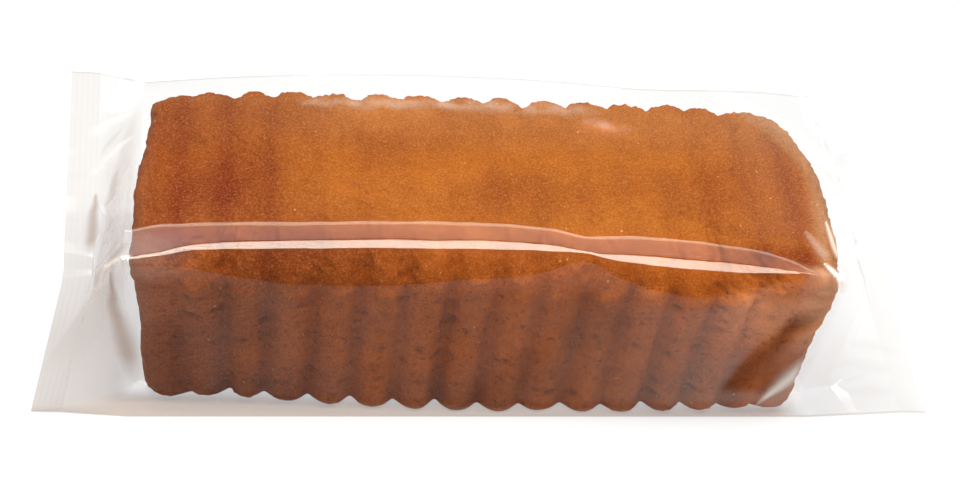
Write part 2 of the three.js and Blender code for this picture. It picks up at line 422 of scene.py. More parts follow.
# Sizes of the crust's grain and marks, in millimetres
MOTTLE_SIZE = 10.0
GRAIN_SIZE = 0.65
STREAK_SIZE = 1.3
PORE_SPACING = 2.6
SPECK_SPACING = 5.0

# Floor, with half its side in millimetres
FLOOR_HALF = 3000.0
FLOOR_WHITE = (0.3, 0.3, 0.3)
FLOOR_GLOW = (0.97, 1.0, 1.06)
FLOOR_STRENGTH = 0.58

# Lights: name, place and size in metres, brightness and tint
WORLD_GREY = (0.06, 0.06, 0.06)
LIGHTS = (
    ("strip", (0.05, -0.1, 1.1), (1.4, 0.26), 18.0, (1.0, 0.965, 0.86)),
    ("panel", (0.05, 0.43, 1.1), (1.4, 0.7), 2.4, (0.97, 1.0, 1.1)),
    ("far_edge", (0.05, 0.85, 1.1), (1.4, 0.14), 8.0, (1.0, 0.95, 0.8)),
)

# Camera: place in metres, angles in degrees, lens in millimetres
CAMERA_PLACE = (-0.0808, -0.4029, 0.4279)
CAMERA_AZIMUTH = 11.28
CAMERA_DOWN = 43.28
CAMERA_ROLL = 9.6
CAMERA_LENS = 59.5


# Small helpers

def add_object(name, data):
    """A new object in the scene."""
    thing = bpy.data.objects.new(name, data)
    bpy.context.scene.collection.objects.link(thing)
    return thing


def mesh_object(name, points, faces):
    """A smooth mesh piece from points in millimetres and a list of faces."""
    mesh = bpy.data.meshes.new(name)
    mesh.from_pydata((np.asarray(points) * MM).tolist(), [], np.asarray(faces).tolist())
    mesh.validate()
    mesh.polygons.foreach_set("use_smooth", [True] * len(mesh.polygons))
    return add_object(name, mesh)


def weld(piece, distance):
    """Joins points of a piece that lie together."""
    modifier = piece.modifiers.new("weld", "WELD")
    modifier.merge_threshold = distance * MM


def store(piece, name, values):
    """Keeps one number for each vertex, for the piece's material."""
    layer = piece.data.attributes.new(name, "FLOAT", "POINT")
    layer.data.foreach_set("value", np.asarray(values, dtype=np.float32).reshape(-1))


def smooth(low, high, value):
    """Eased 0 to 1 as value goes from low to high."""
    t = np.clip((value - low) / (high - low), 0.0, 1.0)
    return t * t * (3.0 - 2.0 * t)


def fade(low, high, value):
    """Eased 1 to 0 as value goes from low to high."""
    return 1.0 - smooth(low, high, value)


def span(places, value):
    """0 to 1 between the first two places, and back to 0 between the last two of four."""
    share = smooth(places[0], places[1], value)
    if len(places) == 4:
        share = share * fade(places[2], places[3], value)
    return share


def zone(points, name):
    """Share of a painted zone at each point: 0 outside it, eased to 1 where it is full."""
    share = 1.0
    for axis, places in ZONES[name].items():
        share = share * span(places, points[..., "xyz".index(axis)])
    return share


def bell(value, middle, width):
    """1 at the middle, falling smoothly to 0 over a few widths."""
    return np.exp(-((value - middle) / width) ** 2)


def waves(points, length, seed, count=24):
    """A smooth random field of about unit size, with features of the given length."""
    rng = np.random.default_rng(seed)
    directions = rng.normal(size=(count, points.shape[-1]))
    directions /= np.linalg.norm(directions, axis=1, keepdims=True)
    turns = directions * (2.0 * math.pi / length) * rng.uniform(0.6, 1.4, (count, 1))
    phases = rng.uniform(0.0, 2.0 * math.pi, count)
    field = np.zeros(points.shape[:-1])
    for turn, phase in zip(turns, phases):
        field += np.cos(points @ turn + phase)
    return field * math.sqrt(2.0 / count)


def layered(points, layers, seed):
    """Several fields of waves added up, from the height and length of each."""
    return sum(height * waves(points, length, seed + i) for i, (height, length) in enumerate(layers))


def lengths_along(path):
    """Length along a path up to each of its points."""
    steps = np.linalg.norm(np.diff(path, axis=0), axis=1)
    return np.concatenate([[0.0], np.cumsum(steps)])


def ring_faces(ring_count, count):
    """Quads between neighbouring closed rings."""
    i, j = np.meshgrid(np.arange(ring_count - 1), np.arange(count), indexing="ij")
    first, k = i * count, (j + 1) % count
    quads = np.stack([first + j, first + count + j, first + count + k, first + k], 2)
    return quads.reshape(-1, 4)


def ring_normals(rings):
    """Directions square to the surface at each point of closed rings."""
    along = np.gradient(rings, axis=0)
    wrapped = np.concatenate([rings[:, -1:], rings, rings[:, :1]], 1)
    around = wrapped[:, 2:] - wrapped[:, :-2]
    normals = np.cross(along, around)
    return normals / np.maximum(np.linalg.norm(normals, axis=2, keepdims=True), 1e-9)


def crease(x):
    """0 on the crest of a flute, 1 in the rounded crease between two."""
    flute = x / FLUTE_PITCH + FLUTE_COUNT / 2
    from_crease = 1.0 - 2.0 * np.abs(flute - np.floor(flute) - 0.5)
    rounding = 0.1
    rise = (np.hypot(from_crease, rounding) - rounding) / (math.hypot(1.0, rounding) - rounding)
    last = (FLUTE_COUNT / 2 - 1) * FLUTE_PITCH
    return (1.0 - rise) ** 2.2 * fade(last, last + 0.7 * FLUTE_PITCH, np.abs(x))


def bow(x):
    """1 at mid-length, falling to 0 at the loaf's ends."""
    return 1.0 - np.minimum(1.0, (x / -LEFT_END) ** 2)


def wall_y(side, z):
    """Distance of a long wall's crests from the middle plane at a height."""
    half = FRONT_HALF if side == "front" else BACK_HALF
    return half - SIDE_TAPER[side] * (1.0 - np.clip(z / LOAF_HEIGHT, 0.0, 1.0))


def loaf_top(x, y):
    """Height of the loaf's crown."""
    across = 1.0 - np.minimum(1.0, (y / BACK_HALF) ** 2)
    back = BACK_RISE * smooth(-FRONT_HALF, BACK_HALF, y)
    back = back + BACK_RIGHT_RISE * smooth(*BACK_RIGHT_SPAN, x) * smooth(0.0, BACK_HALF, y)
    crown = CROWN_RISE * (1.0 - BACK_FLATNESS * smooth(0.0, BACK_HALF, y))
    return LOAF_HEIGHT + crown * bow(x) + CROSS_CROWN * across + back


def foot_push(x):
    """Share of the bulge of the loaf's front foot at a place along the loaf."""
    return 1.0 - np.minimum(1.0, ((x - FOOT_PUSH_MIDDLE) / FOOT_PUSH_REACH) ** 2)


# Loaf

def corner(name):
    """Offsets of a plan corner from its inner point, from the end of the loaf to the wall."""
    along_x, across_y, roundness = CORNERS[name]
    angles = np.linspace(0.0, 0.5 * math.pi, CORNER_POINTS)
    x = along_x * np.maximum(np.cos(angles), 0.0) ** (2.0 / roundness)
    y = across_y * np.sin(angles) ** (2.0 / roundness)
    return np.stack([x, y], 1)


def left_x(y):
    """The left end of the loaf in plan: bowed, and drawn in towards the back."""
    bulge = LEFT_BULGE * (1.0 - (y / BACK_HALF) ** 2)
    return LEFT_END - bulge + LEFT_SLANT * smooth(0.0, LEFT_SLANT_REACH, y)


def right_x(y):
    """The right end of the loaf in plan, bowed most a little behind the middle."""
    off = np.abs(y - RIGHT_CREST) / (FRONT_HALF + RIGHT_CREST)
    return RIGHT_END + RIGHT_BULGE * (1.0 - off ** 1.5)


def in_from_right(x, y):
    """Distance in from the loaf's right end and its round back corner."""
    return right_x(y) - x - RIGHT_TURN * np.maximum(y, 0.0) ** 2


def past_slant(x, z):
    """Distance to the right of the bent line on the front wall past which the film clings."""
    start, lean, bend = SLANT_LINE
    return x - (start + lean * z + bend * z ** 2)


def above_strip(x, z):
    """0 below the painted highlight strip of film by the foot of the right corner, 1 above it."""
    return smooth(0.0, 4.0, z - STRIP_STEEPNESS * (x - STRIP_FOOT))


def half_outline(side):
    """Evenly spaced plan points from the middle of the left end to that of the right end."""
    sign, wall = (-1.0, FRONT_HALF) if side == "front" else (1.0, BACK_HALF)
    left, right = corner(side + "_left"), corner(side + "_right")[::-1]
    left_y = np.linspace(0.0, wall - left[-1, 1], END_POINTS)
    right_y = np.linspace(wall - right[0, 1], 0.0, END_POINTS)
    left_run = np.stack([left_x(sign * left_y), left_y], 1)
    right_run = np.stack([right_x(sign * right_y), right_y], 1)
    left_corner = left_run[-1] + (left - left[0]) * (-1.0, 1.0)
    right_corner = right_run[0] + (right - right[-1])
    path = np.concatenate([left_run, left_corner, right_corner, right_run])
    length = lengths_along(path)
    places = np.linspace(0.0, length[-1], HALF_POINTS)
    x, y = (np.interp(places, length, path[:, i]) for i in (0, 1))
    return np.stack([x, sign * y], 1)


def by_side(sizes, inward):
    """A size for each outline point, blended between the sides that it faces."""
    across = np.where(inward[:, 1] > 0, sizes["front"], sizes["back"])
    along = np.where(inward[:, 0] > 0, sizes["left"], sizes["right"])
    share = inward[:, 1] ** 2
    return across * share + along * (1.0 - share)


def loaf_rings():
    """Rings of the loaf from the middle of its top, over the edge, down and under.

    The front and back halves of the outline have the same count of points, so that the
    two halves of the top meet point to point on the spine.
    """
    front, back = half_outline("front"), half_outline("back")
    outline = np.concatenate([front, back[-2:0:-1]])
    pair_x = np.clip(0.5 * (front[:, 0] + back[:, 0]), LEFT_END + BACK_HALF, RIGHT_END - BACK_HALF)
    spine_x = np.concatenate([pair_x, pair_x[-2:0:-1]])
    spine = np.stack([spine_x, np.zeros_like(spine_x)], 1)
    reach = np.linalg.norm(spine - outline, axis=1)
    inward = (spine - outline) / reach[:, None]
    depth = FLUTE_DEPTH * (1.0 + layered(outline, (FLUTE_VARIATION,), SEED + 4))
    dent = DENT_DEPTH * bell(outline[:, 0], DENT_X, DENT_REACH) * (inward[:, 1] > 0)
    groove = (depth * crease(outline[:, 0]) + dent) * inward[:, 1] ** 2
    edge, foot, taper = (by_side(sizes, inward) for sizes in (TOP_EDGE, FOOT_EDGE, SIDE_TAPER))
    facing_front = smooth(0.0, 0.5, inward[:, 1])
    edge = edge * (1.0 - TIGHTER_EDGE * facing_front * smooth(*TIGHTER_EDGE_SPAN, outline[:, 0]))
    push = foot_push(outline[:, 0]) * facing_front
    foot = foot * (1.0 - TIGHTER_FOOT * push)
    rings, walls = [], []

    def ring(inset, height, groove_share, wall):
        place = outline + inward * (inset + groove * groove_share)[:, None]
        z = height(place[:, 0], place[:, 1])
        rings.append(np.concatenate([place, z[:, None]], 1))
        walls.append(np.full(len(outline), wall))

    for t in np.linspace(1.0, 0.0, TOP_RINGS, endpoint=False):
        inset = edge + (reach - edge) * t
        near = fade(0.0, GROOVE_FADE_ON_TOP, inset - edge)
        drop = GROOVE_DROP * groove * near
        ring(inset, lambda x, y, d=drop: loaf_top(x, y) - d, GROOVE_ON_TOP * near, 0.0)
    for a in np.radians(np.linspace(90.0, 0.0, EDGE_RINGS, endpoint=False)):
        drop = edge * (1.0 - math.sin(a)) + GROOVE_DROP * groove * math.sin(a)
        ring(edge * (1.0 - math.cos(a)), lambda x, y, d=drop: loaf_top(x, y) - d,
             1.0 - (1.0 - GROOVE_ON_TOP) * math.sin(a), math.cos(a))
    wall_top = loaf_top(outline[:, 0], outline[:, 1]) - edge
    for t in np.linspace(1.0, 0.0, WALL_RINGS, endpoint=False):
        z = foot + (wall_top - foot) * t
        bulge = FOOT_PUSH * push * np.clip(1.0 - z / FOOT_PUSH_HEIGHT, 0.0, 1.0) ** 2
        ring(taper * (1.0 - z / LOAF_HEIGHT) - bulge, lambda x, y, h=z: h, 1.0, 1.0)
    for a in np.radians(np.linspace(0.0, 90.0, FOOT_RINGS)):
        z = foot * (1.0 - math.sin(a))
        bulge = FOOT_PUSH * push * (1.0 - z / FOOT_PUSH_HEIGHT) ** 2
        inset = taper * (1.0 - z / LOAF_HEIGHT) - bulge
        ring(inset + foot * (1.0 - math.cos(a)), lambda x, y, h=z: h, 1.0, 1.0)
    start = taper + foot - FOOT_PUSH * push
    for t in np.linspace(0.0, 1.0, UNDER_RINGS + 1)[1:]:
        inset = start + (reach - start) * t
        share = fade(0.0, GROOVE_FADE_UNDER, inset - start)
        ring(inset, lambda x, y: np.zeros_like(x), share, 1.0)
    return np.array(rings), np.array(walls)


def crumb(points):
    """Height of the crust's unevenness, smoother at the left end and front right corner."""
    smoother = np.maximum(zone(points, "smooth_left"), zone(points, "smooth_corner"))
    height, length = COARSE_CRUMB
    coarse = (height - SMOOTHER_CRUMB * smoother) * waves(points, length, SEED + 3, 64)
    return layered(points, SWELLS_AND_LUMPS, SEED + 1) + coarse


def room(points):
    """How far the crust may stand up under the film: little, but more where it is loose."""
    back_edge, ends = zone(points, "roomy_back"), 1.0 - zone(points, "snug_middle")
    return CRUST_ROOM + BACK_ROOM * back_edge + END_ROOM * ends * (1.0 - back_edge)


def pits(points):
    """Depth shares of the small torn pits, wide and low, scattered over the walls."""
    rng = np.random.default_rng(SEED + 5)
    depth = np.zeros(points.shape[:-1])
    for _ in range(PIT_COUNT):
        side = rng.choice([-1.0, 1.0])
        middle = np.array([rng.uniform(*PIT_X), side * PIT_Y, rng.uniform(*PIT_Z)])
        size = np.array([rng.uniform(*PIT_LENGTH), PIT_ACROSS, rng.uniform(*PIT_HEIGHT)])
        reach = np.sum(((points - middle) / size) ** 2, axis=-1)
        depth = np.maximum(depth, rng.uniform(*PIT_DEPTH) * np.exp(-reach))
    return depth


def make_loaf():
    """The loaf, with the values that its crust's colours follow."""
    rings, walls = loaf_rings()
    ring_count, count, _ = rings.shape
    pit = pits(rings) * walls
    relief = np.minimum(crumb(rings) - CRUST_SINK, room(rings)) - pit
    above = smooth(0.0, 2.0, rings[..., 2])
    rings = rings + ring_normals(rings) * (relief * above)[..., None]
    rings[..., 2] = np.maximum(rings[..., 2], 0.0) + LOAF_LIFT
    piece = mesh_object("cake", rings.reshape(-1, 3), ring_faces(ring_count, count))
    weld(piece, LOAF_WELD)
    store(piece, "wall", walls)
    store(piece, "pit", pit)
    store(piece, "brown", browning(rings, walls))
    store(piece, "pale", paleness(rings))
    # The light value is a painted highlight by the front right corner
    store(piece, "light", crust_painted_highlight(rings))
    return piece


def browning(points, walls):
    """How dark the crust is baked, more at the ends, with painted light on the walls at the right and
    painted shade in a slanting band and in the creases.
    """
    x, y, z = np.moveaxis(points, -1, 0)
    tops = 1.0 - walls
    brown = LEAST_BAKE + sum((wall * walls + top * tops) * zone(points, name) for name, wall, top in BAKE)
    # Painted shade: a dark band on the front wall past the bent line
    band = (0.45 + 0.2 * zone(points, "shade_band_middle")) * zone(points, "shade_band")
    brown += walls * band * bell(past_slant(x, z), SHADE_BAND, 5.0)
    brown += 0.14 * tops * bell(right_x(y) - x, *RIGHT_TOP_BAND)
    # Painted shade in the flute creases and painted light on their crests
    stripes = 0.08 + 0.06 * walls + 0.14 * tops * (1.0 - zone(points, "even_top"))
    return np.clip(brown + stripes * (crease(x) - 0.25) + 0.1 * waves(points, 40.0, SEED), 0.0, 1.0)


def paleness(points):
    """The pale crust round the right shoulder and along the back edge."""
    x, y, _ = np.moveaxis(points, -1, 0)
    shoulder = fade(*PALE_SHOULDER, in_from_right(x, y))
    band = (0.3 + 0.5 * zone(points, "pale_back")) * bell(y, *PALE_BAND_Y)
    faded = 0.35 * zone(points, "faded_back") * (0.45 + 0.55 * zone(points, "faded_right"))
    back = np.maximum(band, faded) * zone(points, "pale_top")
    return np.maximum(shoulder, back) * zone(points, "pale_upper")


def crust_painted_highlight(points):
    """Painted highlight on the crust by the front right corner, but for the painted shade band, and a
    painted highlight patch on the top.
    """
    x, y, z = np.moveaxis(points, -1, 0)
    share = sum(strength * zone(points, name) for name, strength in CORNER_HIGHLIGHT_ZONES)
    dark = 0.9 * bell(past_slant(x, z), SHADE_BAND, 4.5) * zone(points, "band_in_highlight")
    clear_strip = zone(points, "gloss_line") * (0.92 - 0.4 * zone(points, "gloss_line_end"))
    wall = share * zone(points, "highlight_wall") * (1.0 - dark) * (1.0 - clear_strip)
    patch = 0.25 * bell(x, *HIGHLIGHT_PATCH_X) * bell(y, *HIGHLIGHT_PATCH_Y) * zone(points, "patch_on_top")
    return np.maximum(wall, patch)


# Film

def brow(x):
    """The film's brow at a place along the loaf, blended between its given places."""
    places = np.array(BROW).T
    near = x + np.linspace(-2.0, 2.0, 11) * BROW_BLEND
    share = bell(near, x, BROW_BLEND)
    return [np.interp(near, places[0], sizes) @ share / share.sum() for sizes in places[1:]]


def film_top(x, y):
    """Height of the film over the crown."""
    return loaf_top(x, y) + LOAF_LIFT + FILM_GAP


def back_fold(x):
    """The loose fold over the back top edge, which stands up towards the right seal."""
    lift = smooth(BACK_FOLD_LIFT, RIGHT_LEAVE, x)
    out, up = (sizes[0] + sizes[1] * bow(x) + sizes[2] * lift for sizes in (BACK_FOLD_OUT, BACK_FOLD_UP))
    return BACK_HALF + out, LOAF_HEIGHT + up


def to_back_fold(x, start, curve):
    """Points from a panel's y and z out to the back fold, along a curve of the given powers."""
    start, curve = np.array(start), np.array(curve)
    return [start + (back_fold(x) - start) * t ** curve for t in np.linspace(0.0, 1.0, 9)[1:]]


def front_fold(x):
    """The fold along the front foot, a little askew to the loaf."""
    return FRONT_FOLD + FRONT_FOLD_SLANT * x


def corner_inset(x):
    """How far the back panel follows the loaf's round corners at its ends."""
    leave = RIGHT_LEAVE if x > 0 else -LEFT_LEAVE
    past = np.clip(abs(x) - (leave - CORNER_RADIUS), 0.0, CORNER_RADIUS * 0.97)
    return CORNER_RADIUS - math.sqrt(CORNER_RADIUS ** 2 - past ** 2)


def resample(profile, bend):
    """Evenly spaced points along a profile, in two stretches that meet at its bend."""
    profile = np.array(profile)
    length = lengths_along(profile)
    low = np.linspace(0.0, length[bend], LOW_POINTS)
    high = np.linspace(length[bend], length[-1], HIGH_POINTS + 1)[1:]
    places = np.concatenate([low, high])
    return np.stack([np.interp(places, length, profile[:, i]) for i in (0, 1)], 1)


def edge_turn(x):
    """The film's steps over the front top edge from the wall to the top, and the wall's y.

    The film's lean goes from upright to level. Where the edge is too tight to reach the
    ridge, the film slopes up from the wall; where it is too slack, it stands off the wall.
    """
    ridge_y, low, high, flat, shelf = brow(x)
    lean = np.linspace(1.0, 89.0, 89)
    size = low + (high - low) * smooth(*RADIUS_LEAN, lean)
    share = np.maximum(1.0 + flat * bell(lean, *RIDGE_LEAN), 0.02)
    step = size * share * math.radians(lean[1] - lean[0])
    level, crest = bell(lean, *SHELF_LEAN), bell(lean, *CREST_LEAN)
    step = step + shelf * level / level.sum() + CREST_LENGTH * crest / crest.sum()
    across, up = np.sin(np.radians(lean)), np.cos(np.radians(lean))
    edge_y = -(FRONT_HALF + FILM_GAP) + FILM_SAG * float(crease(np.array(x)))
    missing = ridge_y - edge_y - (step * across)[lean < RIDGE_LEAN[0]].sum()
    slope = bell(lean, *WALL_LEAN)
    step = step + max(missing, 0.0) * slope / (slope @ across)
    return np.stack([step * across, step * up], 1), edge_y + min(missing, 0.0)


def front_profile(x):
    """The film's front panel at one station: front fold, wall, edge, top, back fold."""
    sag = FILM_SAG * float(crease(np.array(x))) * fade(*SAG_FADE, abs(x))
    foot_y = -(wall_y("front", 0.0) + FOOT_PUSH * foot_push(x) + FRONT_FOOT_GAP) + sag
    turn, edge_y = edge_turn(x)
    turn = np.cumsum(turn, axis=0)
    edge_z = film_top(x, edge_y + turn[-1, 0]) - turn[-1, 1]
    points = [(front_fold(x), FRONT_FOLD_Z), (foot_y, FRONT_FOOT_Z), (edge_y, edge_z)]
    bend = len(points) + len(turn) // 2
    points += [(edge_y + y, edge_z + z) for y, z in turn]
    for y in np.linspace(points[-1][0], BACK_HALF - BACK_FOLD_START, 40)[1:]:
        points.append((y, film_top(x, y)))
    return resample(points + to_back_fold(x, points[-1], (1.0, FOLD_CURVE)), bend)


def back_profile(x):
    """The film's back panel at one station: from the front fold under and up the back."""
    inset = corner_inset(x)
    sag = FILM_SAG * float(crease(np.array(x)))
    foot = FOOT_EDGE["back"] + 0.5 * inset
    low_y = wall_y("back", 0.0) + FILM_GAP - sag - inset
    fold_y = front_fold(x)
    points = [(fold_y, FRONT_FOLD_Z), (fold_y + 1.0, UNDERSIDE_Z)]
    for y in np.linspace(fold_y + 2.0, low_y - foot, 20):
        points.append((y, UNDERSIDE_Z + 0.2 * inset * smooth(fold_y + 4.0, 0.0, y)))
    floor_z = points[-1][1]
    bend = len(points) + 4
    for a in np.radians(np.linspace(-90.0, 0.0, 9)[1:]):
        points.append((low_y - foot + foot * math.cos(a), floor_z + foot + foot * math.sin(a)))
    high_z = LOAF_HEIGHT - BACK_WALL_DROP
    points.append((wall_y("back", high_z) + FILM_GAP - sag - inset, high_z))
    return resample(points + to_back_fold(x, points[-1], (FOLD_CURVE, 1.0)), bend)


def seal_curve(seal):
    """Points along a seal's inner edge, bent round its middle point, and the film's normals."""
    a, b, c = (np.array(p) for p in seal)
    low = np.linspace(0.0, 0.5, LOW_POINTS)
    share = np.concatenate([low, np.linspace(0.5, 1.0, HIGH_POINTS + 1)[1:]])[:, None]
    place = np.where(share < 0.5, a + (b - a) * 2.0 * share, b + (c - b) * (2.0 * share - 1.0))
    rounding = 0.07
    near = np.clip(1.0 - np.abs(share - 0.5) / rounding, 0.0, 1.0) ** 2
    place = place + near * rounding * 0.5 * ((a - b) + (c - b))
    tangent = np.gradient(place, axis=0)
    normal = np.stack([np.zeros(len(place)), -tangent[:, 2], tangent[:, 1]], 1)
    return place, normal / np.linalg.norm(normal, axis=1, keepdims=True)


def end_panels(end, front, back, seal):
    """Front and back panels from the body's last station out to the seal's outer edge.

    Both panels share the seal's outer edge, so that the bag is closed there.
    """
    place, normal = seal_curve(seal)
    share = np.linspace(0.0, 1.0, len(place))[:, None]
    ripple = layered(place, SEAL_WAVES, SEED + 21)[:, None]
    ripple = ripple * np.minimum(1.0, 12.0 * share * (1.0 - share))
    outer = place + np.array([end * SEAL_WIDTH, 0.0, 0.0]) + OUTER_RIPPLE * ripple * normal
    inner = place + INNER_RIPPLE * ripple * normal
    apart = 0.5 * SEAL_THICKNESS * normal
    apart[[0, -1]] = 0.0
    t = np.linspace(0.0, 1.0, TENT_STATIONS + 1)[1:, None, None]
    s = np.linspace(0.0, 1.0, SEAL_STATIONS + 1)[1:, None, None]
    panels = []
    for panel, side in ((front, 1.0), (back, -1.0)):
        tent = panel + (inner + side * apart - panel) * t
        fin = inner + (outer - inner) * s + side * apart * (1.0 - s ** 4)
        panels.append(np.concatenate([tent, fin], 0))
    return panels


def along(points, start, end):
    """Each point's share of the way along a straight line, and its distance from the line."""
    start, axis = np.array(start), np.array(end) - np.array(start)
    share = np.clip((points - start) @ axis / (axis @ axis), 0.0, 1.0)
    return share, np.linalg.norm(points - start - share[..., None] * axis, axis=-1)


def crease_relief(points, lines):
    """Relief of sharp creases along straight lines, fading out at both ends."""
    relief = np.zeros(points.shape[:-1])
    for start, end, width, height in lines:
        share, distance = along(points, start, end)
        relief += height * np.sqrt(4.0 * share * (1.0 - share)) * np.exp(-distance / width)
    return relief


def surface_path(panel, bends):
    """Points of a panel along a line that joins its points nearest to the given bends."""
    near = []
    for bend in bends:
        distance = np.linalg.norm(panel - np.array(bend), axis=-1)
        near.append(np.unravel_index(distance.argmin(), distance.shape))
    places = np.linspace(0.0, len(bends) - 1.0, STROKE_STEPS)
    ring, spot = (np.interp(places, np.arange(len(bends)), index) for index in np.array(near).T)
    path = panel[ring.round().astype(int), spot.round().astype(int)]
    padded = np.pad(path, ((3, 3), (0, 0)), mode="edge")
    return sum(padded[i:i + len(path)] for i in range(7)) / 7.0


def strokes(rings, lines):
    """Strength of soft strokes along lines on the film's front panel.

    They are pointed at both ends and fade out over their last quarter.
    """
    field = np.zeros(rings.shape[:-1])
    front = slice(0, LOW_POINTS + HIGH_POINTS)
    panel = rings[:, front]
    share = np.linspace(0.02, 0.98, STROKE_STEPS)
    for bends, first, last, strength in lines:
        widths = (first + (last - first) * share) * np.sqrt(4.0 * share * (1.0 - share))
        levels = strength * np.minimum(1.0, 4.0 * (1.0 - share))
        for place, width, level in zip(surface_path(panel, bends), widths, levels):
            distance = np.linalg.norm(panel - place, axis=-1)
            field[:, front] = np.maximum(field[:, front], level * np.exp(-(distance / width) ** 2))
    return field


def loose_creases(panel, first, last, rng):
    """Random creases that run across an end of the bag from the loaf towards the seal."""
    lines = []
    count = panel.shape[1]
    for _ in range(LOOSE_CREASES):
        j = rng.integers(6, count - 30)
        k = np.clip(j + rng.integers(-14, 15), 4, count - 4)
        start = panel[first, j] + rng.uniform(0.0, 0.4) * (panel[last, j] - panel[first, j])
        end = panel[first, k] + rng.uniform(0.75, 1.1) * (panel[last, k] - panel[first, k])
        height = rng.choice([-1.0, 1.0]) * rng.uniform(*LOOSE_HEIGHT)
        lines.append((start, end, rng.uniform(*LOOSE_WIDTH), height))
    return lines


def film_relief(rings, lines):
    """Small waves and creases of the film, in millimetres along its normals.

    On the loaf the film can't go in; beyond the loaf's ends it is loose.
    """
    loose = 1.0 - zone(rings, "film_on_loaf")
    tight = layered(rings, TIGHT_WAVES, SEED + 11) * (1.0 - 0.65 * zone(rings, "flat_film"))
    slack = layered(rings, SLACK_WAVES, SEED + 13)
    relief = tight + loose * slack + crease_relief(rings, lines)
    return np.maximum(relief, -0.25 - 3.0 * loose) * zone(rings, "off_floor")


def bag_panels():
    """The bag's front and back panels, from the left seal's outer edge to the right one's."""
    t = np.linspace(0.0, 1.0, BODY_STATIONS)
    closer_at_ends = t - 0.4 * np.sin(2.0 * math.pi * t) / (2.0 * math.pi)
    stations = LEFT_LEAVE + (RIGHT_LEAVE - LEFT_LEAVE) * closer_at_ends
    front, back = (np.array([np.insert(profile(x), 0, x, axis=1) for x in stations])
                   for profile in (front_profile, back_profile))
    left = end_panels(-1.0, front[0], back[0], LEFT_SEAL)
    right = end_panels(1.0, front[-1], back[-1], RIGHT_SEAL)
    front = np.concatenate([left[0][::-1], front, right[0]], 0)
    back = np.concatenate([left[1][::-1], back, right[1]], 0)
    return front, back


def all_creases(front, back):
    """The tension creases and the random ones of both panels."""
    rng = np.random.default_rng(SEED + 31)
    last = len(front) - 1
    tent = TENT_STATIONS + SEAL_STATIONS
    lines = list(CREASES)
    for panel in (front, back):
        lines += loose_creases(panel, tent, SEAL_STATIONS, rng)
        lines += loose_creases(panel, last - tent, last - SEAL_STATIONS, rng)
    return lines


def make_film():
    """The bag, with the values that its painted highlights, greyness with painted shade, and gloss
    follow.
    """
    front, back = bag_panels()
    rings = np.concatenate([front, back[:, -2:0:-1]], 1)
    ring_count, count, _ = rings.shape
    relief = film_relief(rings, all_creases(front, back))
    relief[:SEAL_STATIONS + 1] = 0.0
    relief[ring_count - SEAL_STATIONS - 1:] = 0.0
    rings = rings + ring_normals(rings) * relief[..., None]
    piece = mesh_object("film", rings.reshape(-1, 3), ring_faces(ring_count, count))
    weld(piece, FILM_WELD)
    folds = (0, front.shape[1] - 1)
    sharpen_folds(piece.data, ring_count, count, folds)
    store(piece, "haze_and_painted_sheen", film_haze_and_painted_sheen(rings))
    store(piece, "grey_and_painted_shade", film_grey_and_painted_shade(rings, folds))
    store(piece, "cling", film_cling(rings))
    return piece


def front_painted_sheen_and_haze(points):
    """Painted sheens and highlights on the front wall's film, as white haze: to the right, by the corner
    and along the foot, where it is partly the fold's real double film and partly painted light from the
    floor.
    """
    x, _, z = np.moveaxis(points, -1, 0)
    right = 0.038 * zone(points, "sheen_right") + 0.035 * zone(points, "sheen_low")
    facet = 0.12 * zone(points, "sheen_facet")
    corner_foot = 0.18 * zone(points, "sheen_corner") * (1.0 - above_strip(x, z))
    foot = 0.12 * zone(points, "haze_and_sheen_foot")
    beyond = 0.09 * zone(points, "glint_upper") * smooth(5.0, 13.0, past_slant(x, z))
    veil = np.maximum.reduce([right - 0.1 * slant(points), facet, corner_foot, foot, beyond])
    return veil * zone(points, "sheen_wall")


def end_painted_sheen(points):
    """Painted sheen on the film, as white haze, over the loaf's left end and round its right shoulder."""
    x, y, _ = np.moveaxis(points, -1, 0)
    left = np.maximum(0.012 * zone(points, "sheen_left"), 0.07 * zone(points, "sheen_brow"))
    inside = in_from_right(x, y)
    rim = 0.045 * zone(points, "sheen_rim") * span(SHEEN_RIM, inside)
    shoulder = 0.015 * zone(points, "sheen_shoulder") * smooth(-1.0, 2.0, inside)
    right = np.maximum(rim, shoulder)
    return left * zone(points, "over_left_end") + right * zone(points, "over_right_end")


def film_haze_and_painted_sheen(points):
    """Painted highlights and sheens of the film, as white haze: broken strokes near the back edge, clean
    ones elsewhere, and veils, with some real haze at the foot.
    """
    broken = 0.7 + 0.3 * waves(points * np.array([0.6, 1.0, 1.0]), 5.0, SEED + 41, 32)
    highlight_strokes = strokes(points, PAINTED_HIGHLIGHTS) * np.where(points[..., 1] > BROKEN_FROM, broken, 1.0)
    highlight_strokes = highlight_strokes * (1.0 - zone(points, "off_loaf"))
    return np.clip(np.maximum.reduce([highlight_strokes, front_painted_sheen_and_haze(points), end_painted_sheen(points)]), 0.0, 1.0)


def slant(points):
    """1 in the slanting zone by the right corner where the film clings to the crust."""
    x, _, z = np.moveaxis(points, -1, 0)
    past = past_slant(x, z)
    share = smooth(-3.0, 2.5, past) * (1.0 - 0.4 * smooth(6.0, 16.0, past))
    return share * above_strip(x, z) * zone(points, "slant_wall")


